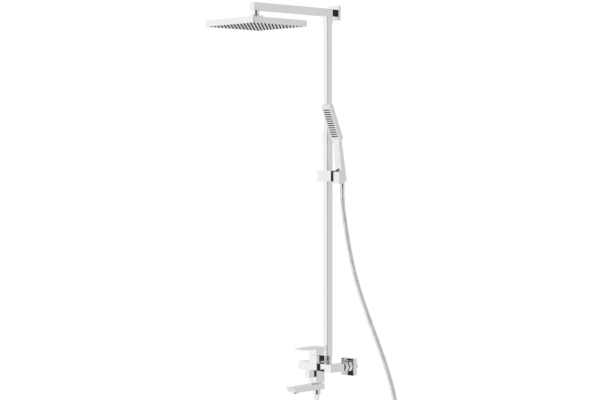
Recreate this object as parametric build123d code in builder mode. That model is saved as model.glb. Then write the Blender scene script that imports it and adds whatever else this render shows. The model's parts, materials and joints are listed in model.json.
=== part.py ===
from build123d import *
import os
from math import cos, pi, radians, sin, tan

# Rainfall shower column with a telescopic riser, a handset on a slider and a lever mixer.
# Frame: origin on the wall plane, midway between the two wall inlets. +Y points into the
# wall, +Z up, +X to the right of a person who faces the wall. Millimetres.

os.makedirs("parts", exist_ok=True)

# ---- driving dimensions ------------------------------------------------------------------
INLET_PITCH = 150.0          # standard distance between the two wall inlets
UNION_OFFSET = 11.0          # eccentricity of each S-union, turned outwards
COLUMN_Y = -36.0             # riser axis, in front of the wall
MIXER_Y = -86.0              # vertical axis of the mixer's square body
HEAD_Y = -350.0              # vertical axis of the rain head
ARM_Z = 1143.0               # axis of the horizontal arm
G_HALF_RADIUS = 10.48        # G1/2 external thread

OUTER_X, OUTER_Y, OUTER_WALL = 20.0, 25.0, 1.4
INNER_X, INNER_Y, INNER_WALL = 17.0, 22.0, 1.3
TUBE_GAP = 0.1               # running gap on each side of the telescopic tubes
OUTER_FOOT_Z, OUTER_TOP_Z = 32.0, 728.0
INNER_FOOT_Z, INNER_TOP_Z = 560.0, 1128.0

HEAD_SIZE = 225.0
HEAD_LOW_Z, HEAD_TOP_Z = 1080.0, 1099.0
BALL_Z, BALL_RADIUS = 1103.0, 11.0
FIT = 0.06                   # radial clearance of the running fits

HANDSET_X = 47.0
HANDSET_FOOT_Z = 597.0
SLIDER_LOW_Z, SLIDER_TOP_Z = 596.5, 631.5

HOSE_DIAMETER = 14.0

# The free hose, from the handset's nut to the mixer's nut: points chosen by hand.
HOSE_ROUTE = [
    (47, -16.5, 575),
    (47, -16.5, 530),
    (63, -20, 466),
    (88, -27, 380),
    (123, -34, 290),
    (168, -41, 205),
    (220, -48, 120),
    (273, -54, 30),
    (315, -58, -62),
    (336, -62, -158),
    (330, -67, -252),
    (292, -72, -335),
    (228, -77, -388),
    (152, -80, -400),
    (84, -83, -370),
    (32, -85, -308),
    (5, -86, -232),
    (0, -86, -172),
    (0, -86, -118),
]


# ---- helpers -----------------------------------------------------------------------------
def save(piece, name):
    """Labels a finished piece and writes it as a STEP file."""
    piece.part.label = name
    export_step(piece.part, f"parts/{name}.step")


def upright(size_x, size_y, low, high, centre=(0, 0), corner=0.0, mode=Mode.ADD):
    """A vertical prism of rectangular section between two heights."""
    with BuildSketch(Plane.XY.offset(low)) as section:
        with Locations(centre):
            if corner:
                RectangleRounded(size_x, size_y, corner)
            else:
                Rectangle(size_x, size_y)
    extrude(section.sketch, amount=high - low, mode=mode)


def bar_y(size_x, size_z, front, rear, centre=(0, 0), corner=0.0, mode=Mode.ADD):
    """A prism along Y from the front (lower Y) to the rear, centre given as (x, z)."""
    with BuildSketch(Plane.XZ.offset(-rear)) as section:
        with Locations(centre):
            if corner:
                RectangleRounded(size_x, size_z, corner)
            else:
                Rectangle(size_x, size_z)
    extrude(section.sketch, amount=rear - front, mode=mode)


def bar_x(size_y, size_z, left, right, centre=(0, 0), corner=0.0, mode=Mode.ADD):
    """A prism along X from left to right, centre given as (y, z)."""
    with BuildSketch(Plane.YZ.offset(left)) as section:
        with Locations(centre):
            if corner:
                RectangleRounded(size_y, size_z, corner)
            else:
                Rectangle(size_y, size_z)
    extrude(section.sketch, amount=right - left, mode=mode)


def turned(outline, foot, along=(0, 0, 1), mode=Mode.ADD):
    """A revolved piece: outline is (radius, height) points, height counted from foot."""
    axis = Vector(*along).normalized()
    across = Vector(0, 1, 0) if abs(axis.X) > cos(pi / 4) else Vector(1, 0, 0)
    with BuildSketch(Plane(origin=foot, x_dir=across, z_dir=across.cross(axis))) as profile:
        with BuildLine():
            Polyline(*outline, close=True)
        make_face()
    revolve(profile.sketch, axis=Axis(foot, axis), mode=mode)


def tube(outer, inner, low, high):
    """Outline of a plain ring for turned()."""
    return [(inner, low), (outer, low), (outer, high), (inner, high)]


def rod(radius, low, high):
    """Outline of a plain rod for turned()."""
    return [(0, low), (radius, low), (radius, high), (0, high)]


def side_prism(outline, left, right, mode=Mode.ADD):
    """A prism along X with a (y, z) outline."""
    with BuildSketch(Plane.YZ.offset(left)) as profile:
        with BuildLine():
            Polyline(*outline, close=True)
        make_face()
    extrude(profile.sketch, amount=right - left, mode=mode)


# ---- mixer body --------------------------------------------------------------------------
BODY_SIZE = 36.0
BODY_LOW_Z, BODY_TOP_Z = -50.0, 38.0
BODY_FRONT_Y = MIXER_Y - BODY_SIZE / 2
ARM_SIZE = 25.0                                  # height of the cross bar and its arms
ARM_WIDE = 24.0
BAR_FRONT_Y = -95.0
ARM_REAR_Y = -31.0
UNION_X = INLET_PITCH / 2 - UNION_OFFSET         # axis of the arm's own outlet
BAR_END_X = UNION_X + ARM_WIDE / 2
BAR_REAR_Y = -64.0
SPIGOT_RADIUS, SPIGOT_BORE, SPIGOT_LENGTH = 11.5, 7.5, 6.0
BOSS_REAR_Y, BOSS_TOP_Z, BOSS_LOW_Z, BOSS_WIDE = -20.0, 3.0, -12.0, 30.0
RISER_SPIGOT_TOP_Z = 14.0
RISER_SPIGOT_RADIUS, RISER_BORE = 10.4, 6.0
CARTRIDGE_FLOOR_Z, CARTRIDGE_TOP_Z = 1.0, 30.0
CARTRIDGE_RADIUS = 12.4
NUT_RECESS_RADIUS = 15.0
STEM_TOP_Z = -37.0
GALLERY_RADIUS, GALLERY_Y, GALLERY_Z = 4.5, -77.0, -4.0
INLET_BORE_LONG, FEED_BORE_LONG, RISER_BORE_DEEP = 52.0, 50.0, 18.0
CHAMBER_RADIUS, DIVERTER_BORE_DEEP = 5.5, 14.0
STEM_PLUG_RADIUS = 9.05
DIVERTER_Z, DIVERTER_RADIUS = -20.0, 7.0
EDGE = 1.2                                       # eased edges of the chrome blocks

with BuildPart() as mixer_body:
    with BuildSketch(Plane.XY.offset(-ARM_SIZE / 2)):
        with Locations((0, (BAR_FRONT_Y + BAR_REAR_Y) / 2)):
            Rectangle(2 * BAR_END_X, BAR_REAR_Y - BAR_FRONT_Y)
        with Locations((-UNION_X, (BAR_FRONT_Y + ARM_REAR_Y) / 2),
                       (UNION_X, (BAR_FRONT_Y + ARM_REAR_Y) / 2)):
            Rectangle(ARM_WIDE, ARM_REAR_Y - BAR_FRONT_Y)
    extrude(amount=ARM_SIZE)
    fillet(mixer_body.edges(), EDGE)
    upright(BODY_SIZE, BODY_SIZE, BODY_LOW_Z, BODY_TOP_Z, centre=(0, MIXER_Y), corner=EDGE)
    for side in (-1, 1):
        turned(rod(SPIGOT_RADIUS, -1, SPIGOT_LENGTH), (side * UNION_X, ARM_REAR_Y, 0),
               (0, 1, 0))
    bar_y(BOSS_WIDE, BOSS_TOP_Z - BOSS_LOW_Z, BAR_REAR_Y - 2 * EDGE, BOSS_REAR_Y,
          centre=(0, (BOSS_TOP_Z + BOSS_LOW_Z) / 2), corner=EDGE)
    turned(rod(RISER_SPIGOT_RADIUS, -1, RISER_SPIGOT_TOP_Z - BOSS_TOP_Z),
           (0, COLUMN_Y, BOSS_TOP_Z))
    # water ways: two inlets, a cross gallery, the riser feed and the outlet
    for side in (-1, 1):
        turned(rod(SPIGOT_BORE, 0, INLET_BORE_LONG), (side * UNION_X, ARM_REAR_Y + SPIGOT_LENGTH, 0),
               (0, -1, 0), mode=Mode.SUBTRACT)
    turned(rod(GALLERY_RADIUS, -UNION_X, UNION_X), (0, GALLERY_Y, GALLERY_Z), (1, 0, 0),
           mode=Mode.SUBTRACT)
    turned(rod(RISER_BORE, -RISER_BORE_DEEP, 0), (0, COLUMN_Y, RISER_SPIGOT_TOP_Z),
           mode=Mode.SUBTRACT)
    turned(rod(GALLERY_RADIUS, 0, FEED_BORE_LONG), (0, COLUMN_Y, GALLERY_Z), (0, -1, 0),
           mode=Mode.SUBTRACT)
    turned([(0, STEM_TOP_Z), (CHAMBER_RADIUS, STEM_TOP_Z), (CHAMBER_RADIUS, CARTRIDGE_FLOOR_Z),
            (CARTRIDGE_RADIUS + 0.1, CARTRIDGE_FLOOR_Z), (CARTRIDGE_RADIUS + 0.1, CARTRIDGE_TOP_Z),
            (NUT_RECESS_RADIUS, CARTRIDGE_TOP_Z), (NUT_RECESS_RADIUS, BODY_TOP_Z),
            (0, BODY_TOP_Z)], (0, MIXER_Y, 0), mode=Mode.SUBTRACT)
    turned(rod(STEM_PLUG_RADIUS + 0.05, BODY_LOW_Z, STEM_TOP_Z), (0, MIXER_Y, 0),
           mode=Mode.SUBTRACT)
    turned(rod(DIVERTER_RADIUS, 0, DIVERTER_BORE_DEEP), (0, BODY_FRONT_Y, DIVERTER_Z), (0, 1, 0),
           mode=Mode.SUBTRACT)
save(mixer_body, "mixer_body")

# ---- wall unions: eccentric, so the 128 mm body meets 150 mm inlets -----------------------
WASHER_THICK = 2.0
FLANGE_REAR_Y = -20.5
FLANGE_FRONT_Y = ARM_REAR_Y + SPIGOT_LENGTH + WASHER_THICK
UNION_TUBE_RADIUS = 9.5
WEB_FRONT_Y, WEB_REAR_Y, WEB_RADIUS = -14.0, -4.0, 11.0
UNION_BORE = 6.5
WALL_THREAD_LENGTH = 15.0

with BuildPart() as wall_unions:
    for side in (-1, 1):
        near, far = side * UNION_X, side * INLET_PITCH / 2
        turned([(0, 0), (SPIGOT_RADIUS, 0), (SPIGOT_RADIUS, FLANGE_REAR_Y - FLANGE_FRONT_Y),
                (UNION_TUBE_RADIUS, FLANGE_REAR_Y - FLANGE_FRONT_Y),
                (UNION_TUBE_RADIUS, WEB_REAR_Y - FLANGE_FRONT_Y),
                (0, WEB_REAR_Y - FLANGE_FRONT_Y)], (near, FLANGE_FRONT_Y, 0), (0, 1, 0))
        with BuildSketch(Plane.XZ.offset(-WEB_REAR_Y)) as web:
            with Locations(((near + far) / 2, 0)):
                SlotCenterToCenter(UNION_OFFSET, 2 * WEB_RADIUS)
        extrude(web.sketch, amount=WEB_REAR_Y - WEB_FRONT_Y)
        turned(rod(G_HALF_RADIUS, WEB_REAR_Y, WALL_THREAD_LENGTH), (far, 0, 0), (0, 1, 0))
        turned(rod(UNION_BORE, FLANGE_FRONT_Y, -7), (near, 0, 0), (0, 1, 0),
               mode=Mode.SUBTRACT)
        turned(rod(UNION_BORE, -11, WALL_THREAD_LENGTH), (far, 0, 0), (0, 1, 0),
               mode=Mode.SUBTRACT)
save(wall_unions, "wall_unions")

with BuildPart() as union_washers:
    for side in (-1, 1):
        turned(tube(SPIGOT_RADIUS - 0.2, SPIGOT_BORE, 0, WASHER_THICK),
               (side * UNION_X, ARM_REAR_Y + SPIGOT_LENGTH, 0), (0, 1, 0))
save(union_washers, "union_washers")

NUT_FLATS = 27.5
NUT_FRONT_Y, NUT_REAR_Y, NUT_LIP = ARM_REAR_Y + 0.2, -18.3, 1.9

with BuildPart() as union_nuts:
    for side in (-1, 1):
        with BuildSketch(Plane.XZ.offset(-NUT_REAR_Y)) as hexagon:
            with Locations((side * UNION_X, 0)):
                RegularPolygon(NUT_FLATS / 2, 6, major_radius=False)
        extrude(hexagon.sketch, amount=NUT_REAR_Y - NUT_FRONT_Y)
        turned(rod(SPIGOT_RADIUS + 0.1, NUT_FRONT_Y, NUT_REAR_Y - NUT_LIP),
               (side * UNION_X, 0, 0), (0, 1, 0), mode=Mode.SUBTRACT)
        turned(rod(UNION_TUBE_RADIUS + 0.3, NUT_FRONT_Y, NUT_REAR_Y),
               (side * UNION_X, 0, 0), (0, 1, 0), mode=Mode.SUBTRACT)
save(union_nuts, "union_nuts")

COVER_SIZE, COVER_DEEP, COVER_WALL = 54.0, 16.0, 1.5
COVER_X = (UNION_X + INLET_PITCH / 2) / 2

with BuildPart() as wall_escutcheons:
    for side in (-1, 1):
        bar_y(COVER_SIZE, COVER_SIZE, -COVER_DEEP, 0, centre=(side * COVER_X, 0), corner=EDGE)
        bar_y(COVER_SIZE - 2 * COVER_WALL, COVER_SIZE - 2 * COVER_WALL, COVER_WALL - COVER_DEEP,
              0, centre=(side * COVER_X, 0), mode=Mode.SUBTRACT)
        turned(rod(UNION_TUBE_RADIUS + 0.4, -COVER_DEEP, 0), (side * UNION_X, 0, 0), (0, 1, 0),
               mode=Mode.SUBTRACT)
save(wall_escutcheons, "wall_escutcheons")

# ---- cartridge and lever -----------------------------------------------------------------
CARRIER_RADIUS, CARRIER_LOW_Z = 8.6, 30.2
PIVOT_Z = BODY_TOP_Z
PIVOT_RADIUS = 5.0
CARRIER_STEM_RADIUS, CARRIER_STEM_LOW_Z = 3.0, 18.0
LEVER_LOW_Z, LEVER_CUBE_TOP_Z, LEVER_TOP_Z = 38.5, 58.0, 65.5
LEVER_REAR_Y, LEVER_TIP_Y = MIXER_Y + BODY_SIZE / 2, -168.0
LIFT_ANGLE = 20.0
SPINDLE_SIZE, SPINDLE_TOP_Z = 7.0, 52.0

with BuildPart() as cartridge:
    turned([(CARRIER_STEM_RADIUS + FIT, CARRIER_STEM_LOW_Z - 0.2),
            (CARRIER_STEM_RADIUS + FIT, CARTRIDGE_TOP_Z), (CARTRIDGE_RADIUS, CARTRIDGE_TOP_Z),
            (CARTRIDGE_RADIUS, CARTRIDGE_FLOOR_Z + 0.2), (0, CARTRIDGE_FLOOR_Z + 0.2),
            (0, CARRIER_STEM_LOW_Z - 0.2)], (0, MIXER_Y, 0))
    with Locations((-5, MIXER_Y, 6), (5, MIXER_Y, 6)):
        Cylinder(2.2, 9.6, mode=Mode.SUBTRACT)
save(cartridge, "cartridge")

with BuildPart() as cartridge_nut:
    turned(tube(NUT_RECESS_RADIUS - 0.1, CARRIER_RADIUS + 0.3, CARTRIDGE_TOP_Z, 37.5),
           (0, MIXER_Y, 0))
save(cartridge_nut, "cartridge_nut")

with BuildPart() as lever_carrier:
    turned([(0, CARRIER_STEM_LOW_Z), (CARRIER_STEM_RADIUS, CARRIER_STEM_LOW_Z),
            (CARRIER_STEM_RADIUS, CARRIER_LOW_Z), (CARRIER_RADIUS, CARRIER_LOW_Z),
            (CARRIER_RADIUS, PIVOT_Z), (0, PIVOT_Z)], (0, MIXER_Y, 0))
    with Locations((0, MIXER_Y, PIVOT_Z)):
        Sphere(PIVOT_RADIUS + FIT, mode=Mode.SUBTRACT)
save(lever_carrier, "lever_carrier")

with BuildPart() as lever_spindle:
    with Locations((0, MIXER_Y, PIVOT_Z)):
        Sphere(PIVOT_RADIUS)
    upright(SPINDLE_SIZE, SPINDLE_SIZE, PIVOT_Z + 1, SPINDLE_TOP_Z, centre=(0, MIXER_Y))
save(lever_spindle, "lever_spindle")

BLADE_TIP_LOW_Z, BLADE_TIP_TOP_Z = 59.5, 62.5
SCREW_Z, SCREW_RADIUS = 49.0, 2.0
INDEX_RADIUS, INDEX_DEEP = 3.0, 1.5

with BuildPart() as lever_handle:
    with BuildSketch(Plane.YZ.offset(-BODY_SIZE / 2)):
        with BuildLine():
            Polyline((BODY_FRONT_Y, LEVER_CUBE_TOP_Z), (BODY_FRONT_Y, LEVER_LOW_Z),
                     (MIXER_Y, LEVER_LOW_Z),
                     (LEVER_REAR_Y, LEVER_LOW_Z + tan(radians(LIFT_ANGLE)) * BODY_SIZE / 2),
                     (LEVER_REAR_Y, LEVER_TOP_Z - 1))
            ThreePointArc((LEVER_REAR_Y, LEVER_TOP_Z - 1), (-112, LEVER_TOP_Z),
                          (LEVER_TIP_Y, BLADE_TIP_TOP_Z))
            Polyline((LEVER_TIP_Y, BLADE_TIP_TOP_Z), (LEVER_TIP_Y, BLADE_TIP_LOW_Z),
                     (BODY_FRONT_Y, LEVER_CUBE_TOP_Z))
        make_face()
    extrude(amount=BODY_SIZE)
    fillet(lever_handle.edges().filter_by(Axis.Z), 1.0)
    turned(rod(CARRIER_RADIUS + 0.9, LEVER_LOW_Z, 44.5), (0, MIXER_Y, 0), mode=Mode.SUBTRACT)
    upright(SPINDLE_SIZE + 0.1, SPINDLE_SIZE + 0.1, LEVER_LOW_Z, SPINDLE_TOP_Z,
            centre=(0, MIXER_Y), mode=Mode.SUBTRACT)
    turned([(0, SPINDLE_SIZE / 2), (SCREW_RADIUS + 0.05, SPINDLE_SIZE / 2),
            (SCREW_RADIUS + 0.05, BODY_SIZE / 2 - INDEX_DEEP),
            (INDEX_RADIUS, BODY_SIZE / 2 - INDEX_DEEP), (INDEX_RADIUS, BODY_SIZE / 2),
            (0, BODY_SIZE / 2)], (0, MIXER_Y, SCREW_Z), (0, 1, 0), mode=Mode.SUBTRACT)
save(lever_handle, "lever_handle")

with BuildPart() as lever_screw:
    turned(rod(SCREW_RADIUS, SPINDLE_SIZE / 2, SPINDLE_SIZE / 2 + 8), (0, MIXER_Y, SCREW_Z),
           (0, 1, 0))
save(lever_screw, "lever_screw")

with BuildPart() as lever_plug:
    turned(rod(INDEX_RADIUS - 0.05, BODY_SIZE / 2 - INDEX_DEEP + 0.1, BODY_SIZE / 2),
           (0, MIXER_Y, SCREW_Z), (0, 1, 0))
save(lever_plug, "lever_plug")

# ---- diverter ----------------------------------------------------------------------------
KNOB_SIZE, KNOB_LONG, KNOB_GAP = 23.0, 23.0, 0.4
KNOB_SOCKET_RADIUS, KNOB_SOCKET_DEEP = 3.0, 9.0
KNOB_REAR_Y = BODY_FRONT_Y - KNOB_GAP
SPINDLE_INNER, SPINDLE_SHOULDER = -11.0, -1.0

with BuildPart() as diverter_knob:
    bar_y(KNOB_SIZE, KNOB_SIZE, KNOB_REAR_Y - KNOB_LONG, KNOB_REAR_Y, centre=(0, DIVERTER_Z),
          corner=EDGE)
    chamfer(diverter_knob.edges().group_by(Axis.Y)[0], 0.6)
    turned(rod(KNOB_SOCKET_RADIUS, 0, KNOB_SOCKET_DEEP), (0, KNOB_REAR_Y, DIVERTER_Z),
           (0, -1, 0), mode=Mode.SUBTRACT)
save(diverter_knob, "diverter_knob")

with BuildPart() as diverter_spindle:
    turned([(0, SPINDLE_INNER), (DIVERTER_RADIUS - FIT, SPINDLE_INNER),
            (DIVERTER_RADIUS - FIT, SPINDLE_SHOULDER), (KNOB_SOCKET_RADIUS, SPINDLE_SHOULDER),
            (KNOB_SOCKET_RADIUS, KNOB_SOCKET_DEEP), (0, KNOB_SOCKET_DEEP)],
           (0, KNOB_REAR_Y, DIVERTER_Z), (0, -1, 0))
save(diverter_spindle, "diverter_spindle")

# ---- outlet stem, swivelling spout -------------------------------------------------------
STEM_RADIUS, STEM_BORE = 10.85, 5.5
STEM_CLIP_Z, STEM_LOW_Z = -74.5, -84.0
SPOUT_LOW_Z, SPOUT_TOP_Z, SPOUT_TIP_TOP_Z = -72.0, -54.0, -58.0
SPOUT_TIP_Y, SPOUT_NOSE_Y = -205.0, -195.0
CLIP_HIGH_Z, CLIP_THICK = -72.2, 1.2
GROOVE_WIDE, GROOVE_DEEP = 2.0, 1.6
GROOVES_Z = (-58.0, -67.0)
RING_WIRE = 0.75
CLIP_SEAT_RADIUS = 9.8
AERATOR_Y, AERATOR_RADIUS = -182.0, 12.0

with BuildPart() as outlet_stem:
    turned([(STEM_BORE, STEM_TOP_Z), (STEM_PLUG_RADIUS, STEM_TOP_Z),
            (STEM_PLUG_RADIUS, BODY_LOW_Z), (STEM_RADIUS, BODY_LOW_Z),
            (STEM_RADIUS, STEM_CLIP_Z), (G_HALF_RADIUS, STEM_CLIP_Z),
            (G_HALF_RADIUS, STEM_LOW_Z), (STEM_BORE, STEM_LOW_Z)], (0, MIXER_Y, 0))
    for height in GROOVES_Z:
        turned(tube(STEM_RADIUS + 1, STEM_RADIUS - GROOVE_DEEP, height - GROOVE_WIDE / 2,
                    height + GROOVE_WIDE / 2), (0, MIXER_Y, 0), mode=Mode.SUBTRACT)
    turned(tube(STEM_RADIUS + 1, CLIP_SEAT_RADIUS, CLIP_HIGH_Z - CLIP_THICK - 0.1,
                CLIP_HIGH_Z + 0.1), (0, MIXER_Y, 0), mode=Mode.SUBTRACT)
save(outlet_stem, "outlet_stem")

with BuildPart() as stem_seals:
    for height in GROOVES_Z:
        with BuildSketch(Plane(origin=(0, MIXER_Y, height), x_dir=(1, 0, 0),
                               z_dir=(0, -1, 0))) as wire:
            with Locations((STEM_RADIUS - GROOVE_DEEP + RING_WIRE + 0.02, 0)):
                Circle(RING_WIRE)
        revolve(wire.sketch, axis=Axis((0, MIXER_Y, height), (0, 0, 1)))
save(stem_seals, "stem_seals")

with BuildPart() as swivel_ring:
    turned(tube(17, STEM_RADIUS + 0.05, SPOUT_TOP_Z + 0.1, BODY_LOW_Z), (0, MIXER_Y, 0))
save(swivel_ring, "swivel_ring")

with BuildPart() as spout_clip:
    turned(tube(13, CLIP_SEAT_RADIUS + 0.05, CLIP_HIGH_Z - CLIP_THICK, CLIP_HIGH_Z),
           (0, MIXER_Y, 0))
save(spout_clip, "spout_clip")

with BuildPart() as spout:
    side_prism([(LEVER_REAR_Y, SPOUT_LOW_Z), (LEVER_REAR_Y, SPOUT_TOP_Z),
                (BODY_FRONT_Y, SPOUT_TOP_Z), (SPOUT_TIP_Y, SPOUT_TIP_TOP_Z),
                (SPOUT_NOSE_Y, SPOUT_LOW_Z)], -BODY_SIZE / 2, BODY_SIZE / 2)
    fillet(spout.edges().filter_by(Axis.Z), EDGE)
    turned(rod(STEM_RADIUS + FIT, SPOUT_LOW_Z, SPOUT_TOP_Z), (0, MIXER_Y, 0),
           mode=Mode.SUBTRACT)
    upright(16, MIXER_Y - AERATOR_Y, -68, -61, centre=(0, (MIXER_Y + AERATOR_Y) / 2),
            mode=Mode.SUBTRACT)
    turned(rod(AERATOR_RADIUS, SPOUT_LOW_Z, -61), (0, AERATOR_Y, 0), mode=Mode.SUBTRACT)
save(spout, "spout")

AERATOR_LOW_Z = -76.5
with BuildPart() as aerator_housing:
    turned(tube(AERATOR_RADIUS - 0.05, 9.5, AERATOR_LOW_Z, -63), (0, AERATOR_Y, 0))
save(aerator_housing, "aerator_housing")

with BuildPart() as aerator_insert:
    turned(rod(9.4, AERATOR_LOW_Z + 1.5, -66), (0, AERATOR_Y, 0))
    with Locations((0, AERATOR_Y, AERATOR_LOW_Z + 4)):
        with HexLocations(1.6, 3, 3):
            Cylinder(0.9, 12, mode=Mode.SUBTRACT)
save(aerator_insert, "aerator_insert")

# ---- risers ------------------------------------------------------------------------------
TAIL_RADIUS, TAIL_FLANGE_Z, TAIL_FLANGE_THICK = 8.5, 16.0, 3.0
RISER_NUT_RADIUS = 13.0
RISER_NUT_LOW_Z, RISER_NUT_TOP_Z = 3.2, 31.8
FOOT_THICK = 5.0

with BuildPart() as outer_riser:
    upright(OUTER_X, OUTER_Y, OUTER_FOOT_Z, OUTER_TOP_Z, centre=(0, COLUMN_Y), corner=2.0)
    upright(OUTER_X - 2 * OUTER_WALL, OUTER_Y - 2 * OUTER_WALL, OUTER_FOOT_Z + FOOT_THICK,
            OUTER_TOP_Z, centre=(0, COLUMN_Y), corner=0.8, mode=Mode.SUBTRACT)
    turned([(0, TAIL_FLANGE_Z), (RISER_SPIGOT_RADIUS, TAIL_FLANGE_Z),
            (RISER_SPIGOT_RADIUS, TAIL_FLANGE_Z + TAIL_FLANGE_THICK),
            (TAIL_RADIUS, TAIL_FLANGE_Z + TAIL_FLANGE_THICK), (TAIL_RADIUS, OUTER_FOOT_Z),
            (0, OUTER_FOOT_Z)], (0, COLUMN_Y, 0))
    turned(rod(RISER_BORE, TAIL_FLANGE_Z, OUTER_FOOT_Z + FOOT_THICK), (0, COLUMN_Y, 0),
           mode=Mode.SUBTRACT)
save(outer_riser, "outer_riser")

with BuildPart() as riser_washer:
    turned(tube(RISER_SPIGOT_RADIUS, RISER_BORE, RISER_SPIGOT_TOP_Z, TAIL_FLANGE_Z),
           (0, COLUMN_Y, 0))
save(riser_washer, "riser_washer")

with BuildPart() as riser_nut:
    lip = TAIL_FLANGE_Z + TAIL_FLANGE_THICK + 0.2
    turned([(RISER_SPIGOT_RADIUS + 0.1, RISER_NUT_LOW_Z), (RISER_NUT_RADIUS, RISER_NUT_LOW_Z),
            (RISER_NUT_RADIUS, RISER_NUT_TOP_Z), (TAIL_RADIUS + 0.1, RISER_NUT_TOP_Z),
            (TAIL_RADIUS + 0.1, lip), (RISER_SPIGOT_RADIUS + 0.1, lip)], (0, COLUMN_Y, 0))
save(riser_nut, "riser_nut")

COLLAR_LOW_Z, COLLAR_TOP_Z = 720.0, 753.0
COLLAR_X, COLLAR_Y = 23.4, 28.4
SEAL_DEEP, SEAL_HIGH = 1.1, 4.0
COLLAR_SEAL_Z, COLLAR_SCREW_Z = 736.0, 747.0

with BuildPart() as riser_collar:
    upright(COLLAR_X, COLLAR_Y, COLLAR_LOW_Z, COLLAR_TOP_Z, centre=(0, COLUMN_Y), corner=2.5)
    chamfer(riser_collar.edges().group_by(Axis.Z)[-1], 1.0)
    upright(INNER_X + 2 * TUBE_GAP, INNER_Y + 2 * TUBE_GAP, COLLAR_LOW_Z, COLLAR_TOP_Z,
            centre=(0, COLUMN_Y), corner=1.0, mode=Mode.SUBTRACT)
    upright(OUTER_X + TUBE_GAP, OUTER_Y + TUBE_GAP, COLLAR_LOW_Z, OUTER_TOP_Z,
            centre=(0, COLUMN_Y), corner=1.8, mode=Mode.SUBTRACT)
    upright(INNER_X + 2 * SEAL_DEEP, INNER_Y + 2 * SEAL_DEEP, COLLAR_SEAL_Z,
            COLLAR_SEAL_Z + SEAL_HIGH, centre=(0, COLUMN_Y), corner=2.0, mode=Mode.SUBTRACT)
    turned(rod(SCREW_RADIUS + 0.05, INNER_Y / 2, COLLAR_Y / 2), (0, COLUMN_Y, COLLAR_SCREW_Z),
           (0, 1, 0), mode=Mode.SUBTRACT)
save(riser_collar, "riser_collar")


def tube_seal(low):
    """The rectangular lip seal round the inner riser, in its pocket."""
    size = (INNER_X + 2 * SEAL_DEEP - 0.1, INNER_Y + 2 * SEAL_DEEP - 0.1)
    upright(*size, low, low + SEAL_HIGH, centre=(0, COLUMN_Y), corner=1.9)
    upright(INNER_X + 2 * TUBE_GAP, INNER_Y + 2 * TUBE_GAP, low, low + SEAL_HIGH,
            centre=(0, COLUMN_Y), corner=1.0, mode=Mode.SUBTRACT)


with BuildPart() as collar_seal:
    tube_seal(COLLAR_SEAL_Z)
save(collar_seal, "collar_seal")

with BuildPart() as collar_screw:
    turned(rod(SCREW_RADIUS, INNER_Y / 2 + 0.15, COLLAR_Y / 2 - 0.2),
           (0, COLUMN_Y, COLLAR_SCREW_Z), (0, 1, 0))
    with Locations((0, COLUMN_Y + COLLAR_Y / 2 - 0.6, COLLAR_SCREW_Z)):
        Box(1.6, 1.0, 1.6, mode=Mode.SUBTRACT)
save(collar_screw, "collar_screw")

with BuildPart() as inner_riser:
    upright(INNER_X, INNER_Y, INNER_FOOT_Z, INNER_TOP_Z, centre=(0, COLUMN_Y), corner=1.5)
    upright(INNER_X - 2 * INNER_WALL, INNER_Y - 2 * INNER_WALL, INNER_FOOT_Z, INNER_TOP_Z,
            centre=(0, COLUMN_Y), corner=0.5, mode=Mode.SUBTRACT)
save(inner_riser, "inner_riser")

# ---- arm and top bracket -----------------------------------------------------------------
ARM_HIGH, ARM_WALL = 25.0, 1.4
ARM_FRONT_Y, ARM_BACK_Y, CAP_THICK = -367.0, -17.0, 2.0
ARM_LOW_Z = ARM_Z - ARM_HIGH / 2
SLEEVE_X, SLEEVE_Y, SLEEVE_LOW_Z = 20.0, 26.0, 1109.0
NIPPLE_THREAD_RADIUS = 7.0
ARM_SEAL_Z = 1113.0

with BuildPart() as riser_arm:
    bar_y(OUTER_X, ARM_HIGH, ARM_FRONT_Y + CAP_THICK, ARM_BACK_Y - CAP_THICK,
          centre=(0, ARM_Z), corner=2.0)
    upright(SLEEVE_X, SLEEVE_Y, SLEEVE_LOW_Z, ARM_LOW_Z + 4, centre=(0, COLUMN_Y), corner=2.0)
    bar_y(OUTER_X - 2 * ARM_WALL, ARM_HIGH - 2 * ARM_WALL, ARM_FRONT_Y, ARM_BACK_Y,
          centre=(0, ARM_Z), corner=0.8, mode=Mode.SUBTRACT)
    upright(INNER_X + 2 * TUBE_GAP, INNER_Y + 2 * TUBE_GAP, SLEEVE_LOW_Z, ARM_Z,
            centre=(0, COLUMN_Y), corner=1.0, mode=Mode.SUBTRACT)
    upright(INNER_X + 2 * SEAL_DEEP, INNER_Y + 2 * SEAL_DEEP, ARM_SEAL_Z,
            ARM_SEAL_Z + SEAL_HIGH, centre=(0, COLUMN_Y), corner=2.0, mode=Mode.SUBTRACT)
    turned(rod(NIPPLE_THREAD_RADIUS + 0.05, ARM_LOW_Z - 1, ARM_LOW_Z + 4), (0, HEAD_Y, 0),
           mode=Mode.SUBTRACT)
save(riser_arm, "riser_arm")

with BuildPart() as arm_seal:
    tube_seal(ARM_SEAL_Z)
save(arm_seal, "arm_seal")

TONGUE = 6.0
TONGUE_X, TONGUE_Z = OUTER_X - 2 * ARM_WALL - 0.2, ARM_HIGH - 2 * ARM_WALL - 0.2

with BuildPart() as arm_end_cap:
    bar_y(OUTER_X, ARM_HIGH, ARM_FRONT_Y, ARM_FRONT_Y + CAP_THICK, centre=(0, ARM_Z), corner=2.0)
    bar_y(TONGUE_X, TONGUE_Z, ARM_FRONT_Y + CAP_THICK, ARM_FRONT_Y + TONGUE, centre=(0, ARM_Z),
          corner=0.7)
save(arm_end_cap, "arm_end_cap")

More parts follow.
